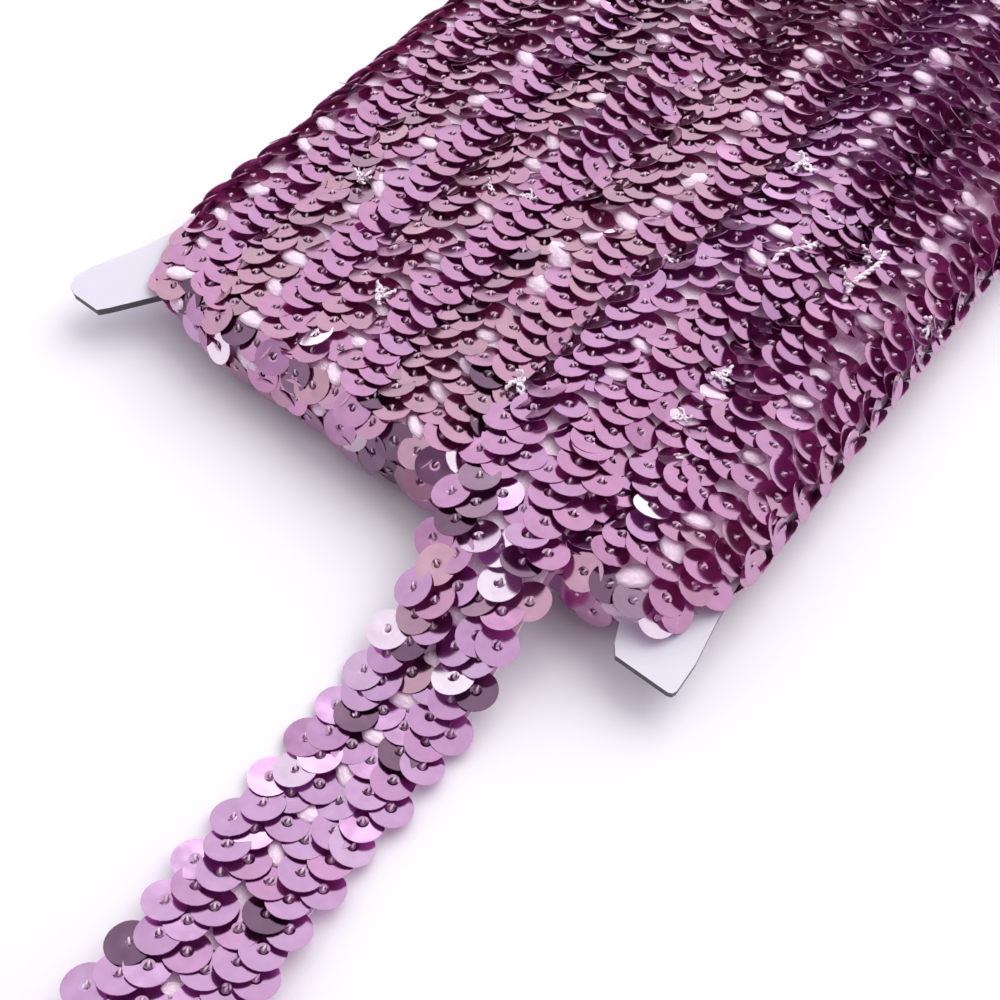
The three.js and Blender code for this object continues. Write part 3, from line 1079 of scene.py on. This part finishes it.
def set_camera():
    data = bpy.data.cameras.new("camera")
    data.lens = CAMERA_LENS
    data.sensor_width = 36
    data.clip_start = 0.01
    camera = bpy.data.objects.new("camera", data)
    camera.location = in_frame(CAMERA_PLACE)
    camera.rotation_euler = (math.radians(90 - CAMERA_SLANT), 0, math.radians(CAMERA_TURN))
    bpy.context.scene.collection.objects.link(camera)
    bpy.context.scene.camera = camera


def area_light(name, place, target, size, power, color):
    data = bpy.data.lights.new(name, "AREA")
    data.shape = "RECTANGLE"
    data.size, data.size_y = size
    data.energy = power
    data.color = color
    lamp = bpy.data.objects.new(name, data)
    lamp.location = place
    lamp.rotation_euler = (Vector(target) - Vector(place)).to_track_quat("-Z", "Y").to_euler()
    bpy.context.scene.collection.objects.link(lamp)
    return lamp


def toward(nodes, links, direction, aim):
    """How nearly a direction points at an aim, from -1 to 1."""
    node = nodes.new("ShaderNodeVectorMath")
    node.operation = "DOT_PRODUCT"
    node.inputs[1].default_value = Vector(aim).normalized()
    links.new(direction, node.inputs[0])
    return node.outputs["Value"]


def set_studio():
    """A pale room, brighter at the far side, with a dim patch over the near side, and one wide soft key."""
    world = bpy.data.worlds.new("pale_studio")
    bpy.context.scene.world = world
    world.use_nodes = True
    nodes, links = world.node_tree.nodes, world.node_tree.links
    background = nodes["Background"]
    direction = nodes.new("ShaderNodeTexCoord").outputs["Generated"]
    depth = map_range(nodes, links, toward(nodes, links, direction, (-0.36, 0.93, 0.25)), 0.0, 1.0)
    depth.inputs["From Min"].default_value = -1
    walls = ramp(nodes, [(0.0, (0.34, 0.26, 0.33)), (0.35, (0.58, 0.51, 0.58)), (0.6, (0.92, 0.90, 0.94)),
                         (1.0, (1.08, 1.07, 1.10))])
    links.new(depth.outputs["Result"], walls.inputs["Fac"])
    overhead = ramp(nodes, [(0.0, (1, 1, 1)), (0.86, (1, 1, 1)), (0.94, (0.22, 0.20, 0.24))])
    links.new(toward(nodes, links, direction, (0.30, -0.55, 0.78)), overhead.inputs["Fac"])
    blotches = noise(nodes, links, direction, 3.1, 1.5)
    unevenness = ramp(nodes, [(0.30, (0.72, 0.64, 0.72)), (0.44, (0.95, 0.94, 0.96)), (0.60, (1.0, 1.0, 1.0)),
                              (0.72, (1.45, 1.45, 1.45))])
    links.new(blotches.outputs["Fac"], unevenness.inputs["Fac"])
    color = mix_color(nodes, links, 1.0, walls.outputs["Color"], overhead.outputs["Color"], "MULTIPLY")
    color = mix_color(nodes, links, 1.0, color, unevenness.outputs["Color"], "MULTIPLY")
    links.new(color, background.inputs["Color"])
    background.inputs["Strength"].default_value = 1.15
    key = area_light("key_box", (0.12, 0.55, 0.80), (0, 0.02, 0), (0.9, 0.8), 6.0, (1.0, 0.99, 0.98))
    key.visible_glossy = False
    area_light("window_strip", (-0.55, 0.50, 0.75), (0, 0.0, 0), (0.16, 0.10), 0.12, (1.0, 1.0, 1.0))


def set_floor():
    deselect_all()
    bpy.ops.mesh.primitive_plane_add(size=6, location=(0, 0, 0))
    floor = bpy.context.object
    floor.name = "floor"
    floor.data.materials.append(pale_table())


set_camera()
set_floor()
set_studio()

film = sequin_film()
cloth = knit_cloth()
thread = clear_thread()

card_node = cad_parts["card"]
card_node.data.materials.clear()
card_node.data.materials.append(white_board())

sleeve = wound_knit(cloth)
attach(sleeve, "root")
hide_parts("wound_trim")

near_sequin = sequin_shape("near_sequin", 26, True)
top_sequin = sequin_shape("top_sequin", 20, True)
pressed_sequin = sequin_shape("pressed_sequin", 14, False)
stitch = stitch_shape("stitch")
fluff = fluff_shape("fluff", random.Random(3))
pucker = pucker_shape("pucker")

turn_places = [wound_sequins(turn, random.Random(100 + number)) for number, turn in enumerate(TURNS)]
loose_places = loose_sequins(random.Random(7))
mark_single_discs(turn_places + [loose_places])

for turn, places in zip(TURNS, turn_places):
    above = [one for one in places if one["above"]]
    below = [one for one in places if not one["above"]]
    discs = sew_on(turn["name"] + "_sequins", [(top_sequin, above), (pressed_sequin, below)], film)
    stitches = sew_on(turn["name"] + "_stitches", [(stitch, places)], thread)
    for piece, slot in ((discs, "sequins"), (stitches, "thread")):
        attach(piece, "root")

puckers = sew_on("knit_puckers", [(pucker, pucker_places(random.Random(5)))], cloth)
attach(puckers, "root")

pale_fibre = fluff_fibre()
tufts = sew_on("loose_fluff", [(fluff, fluff_places(random.Random(11)))], pale_fibre)
ends = thread_ends(pale_fibre)
for piece in (tufts, ends):
    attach(piece, "root")

strip = loose_knit(cloth)
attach(strip, "root")
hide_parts("loose_end")
loose_discs = sew_on("loose_end_sequins", [(near_sequin, loose_places)], film)
loose_stitches = sew_on("loose_end_stitches", [(stitch, loose_places)], thread)
for piece, slot in ((loose_discs, "sequins"), (loose_stitches, "thread")):
    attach(piece, "root")
loose_length = len(loose_stations(1.0)) * MM

for template in (near_sequin, top_sequin, pressed_sequin, stitch, fluff, pucker):
    bpy.data.objects.remove(template)

scene_view = bpy.context.scene.view_settings
scene_view.view_transform = "Standard"
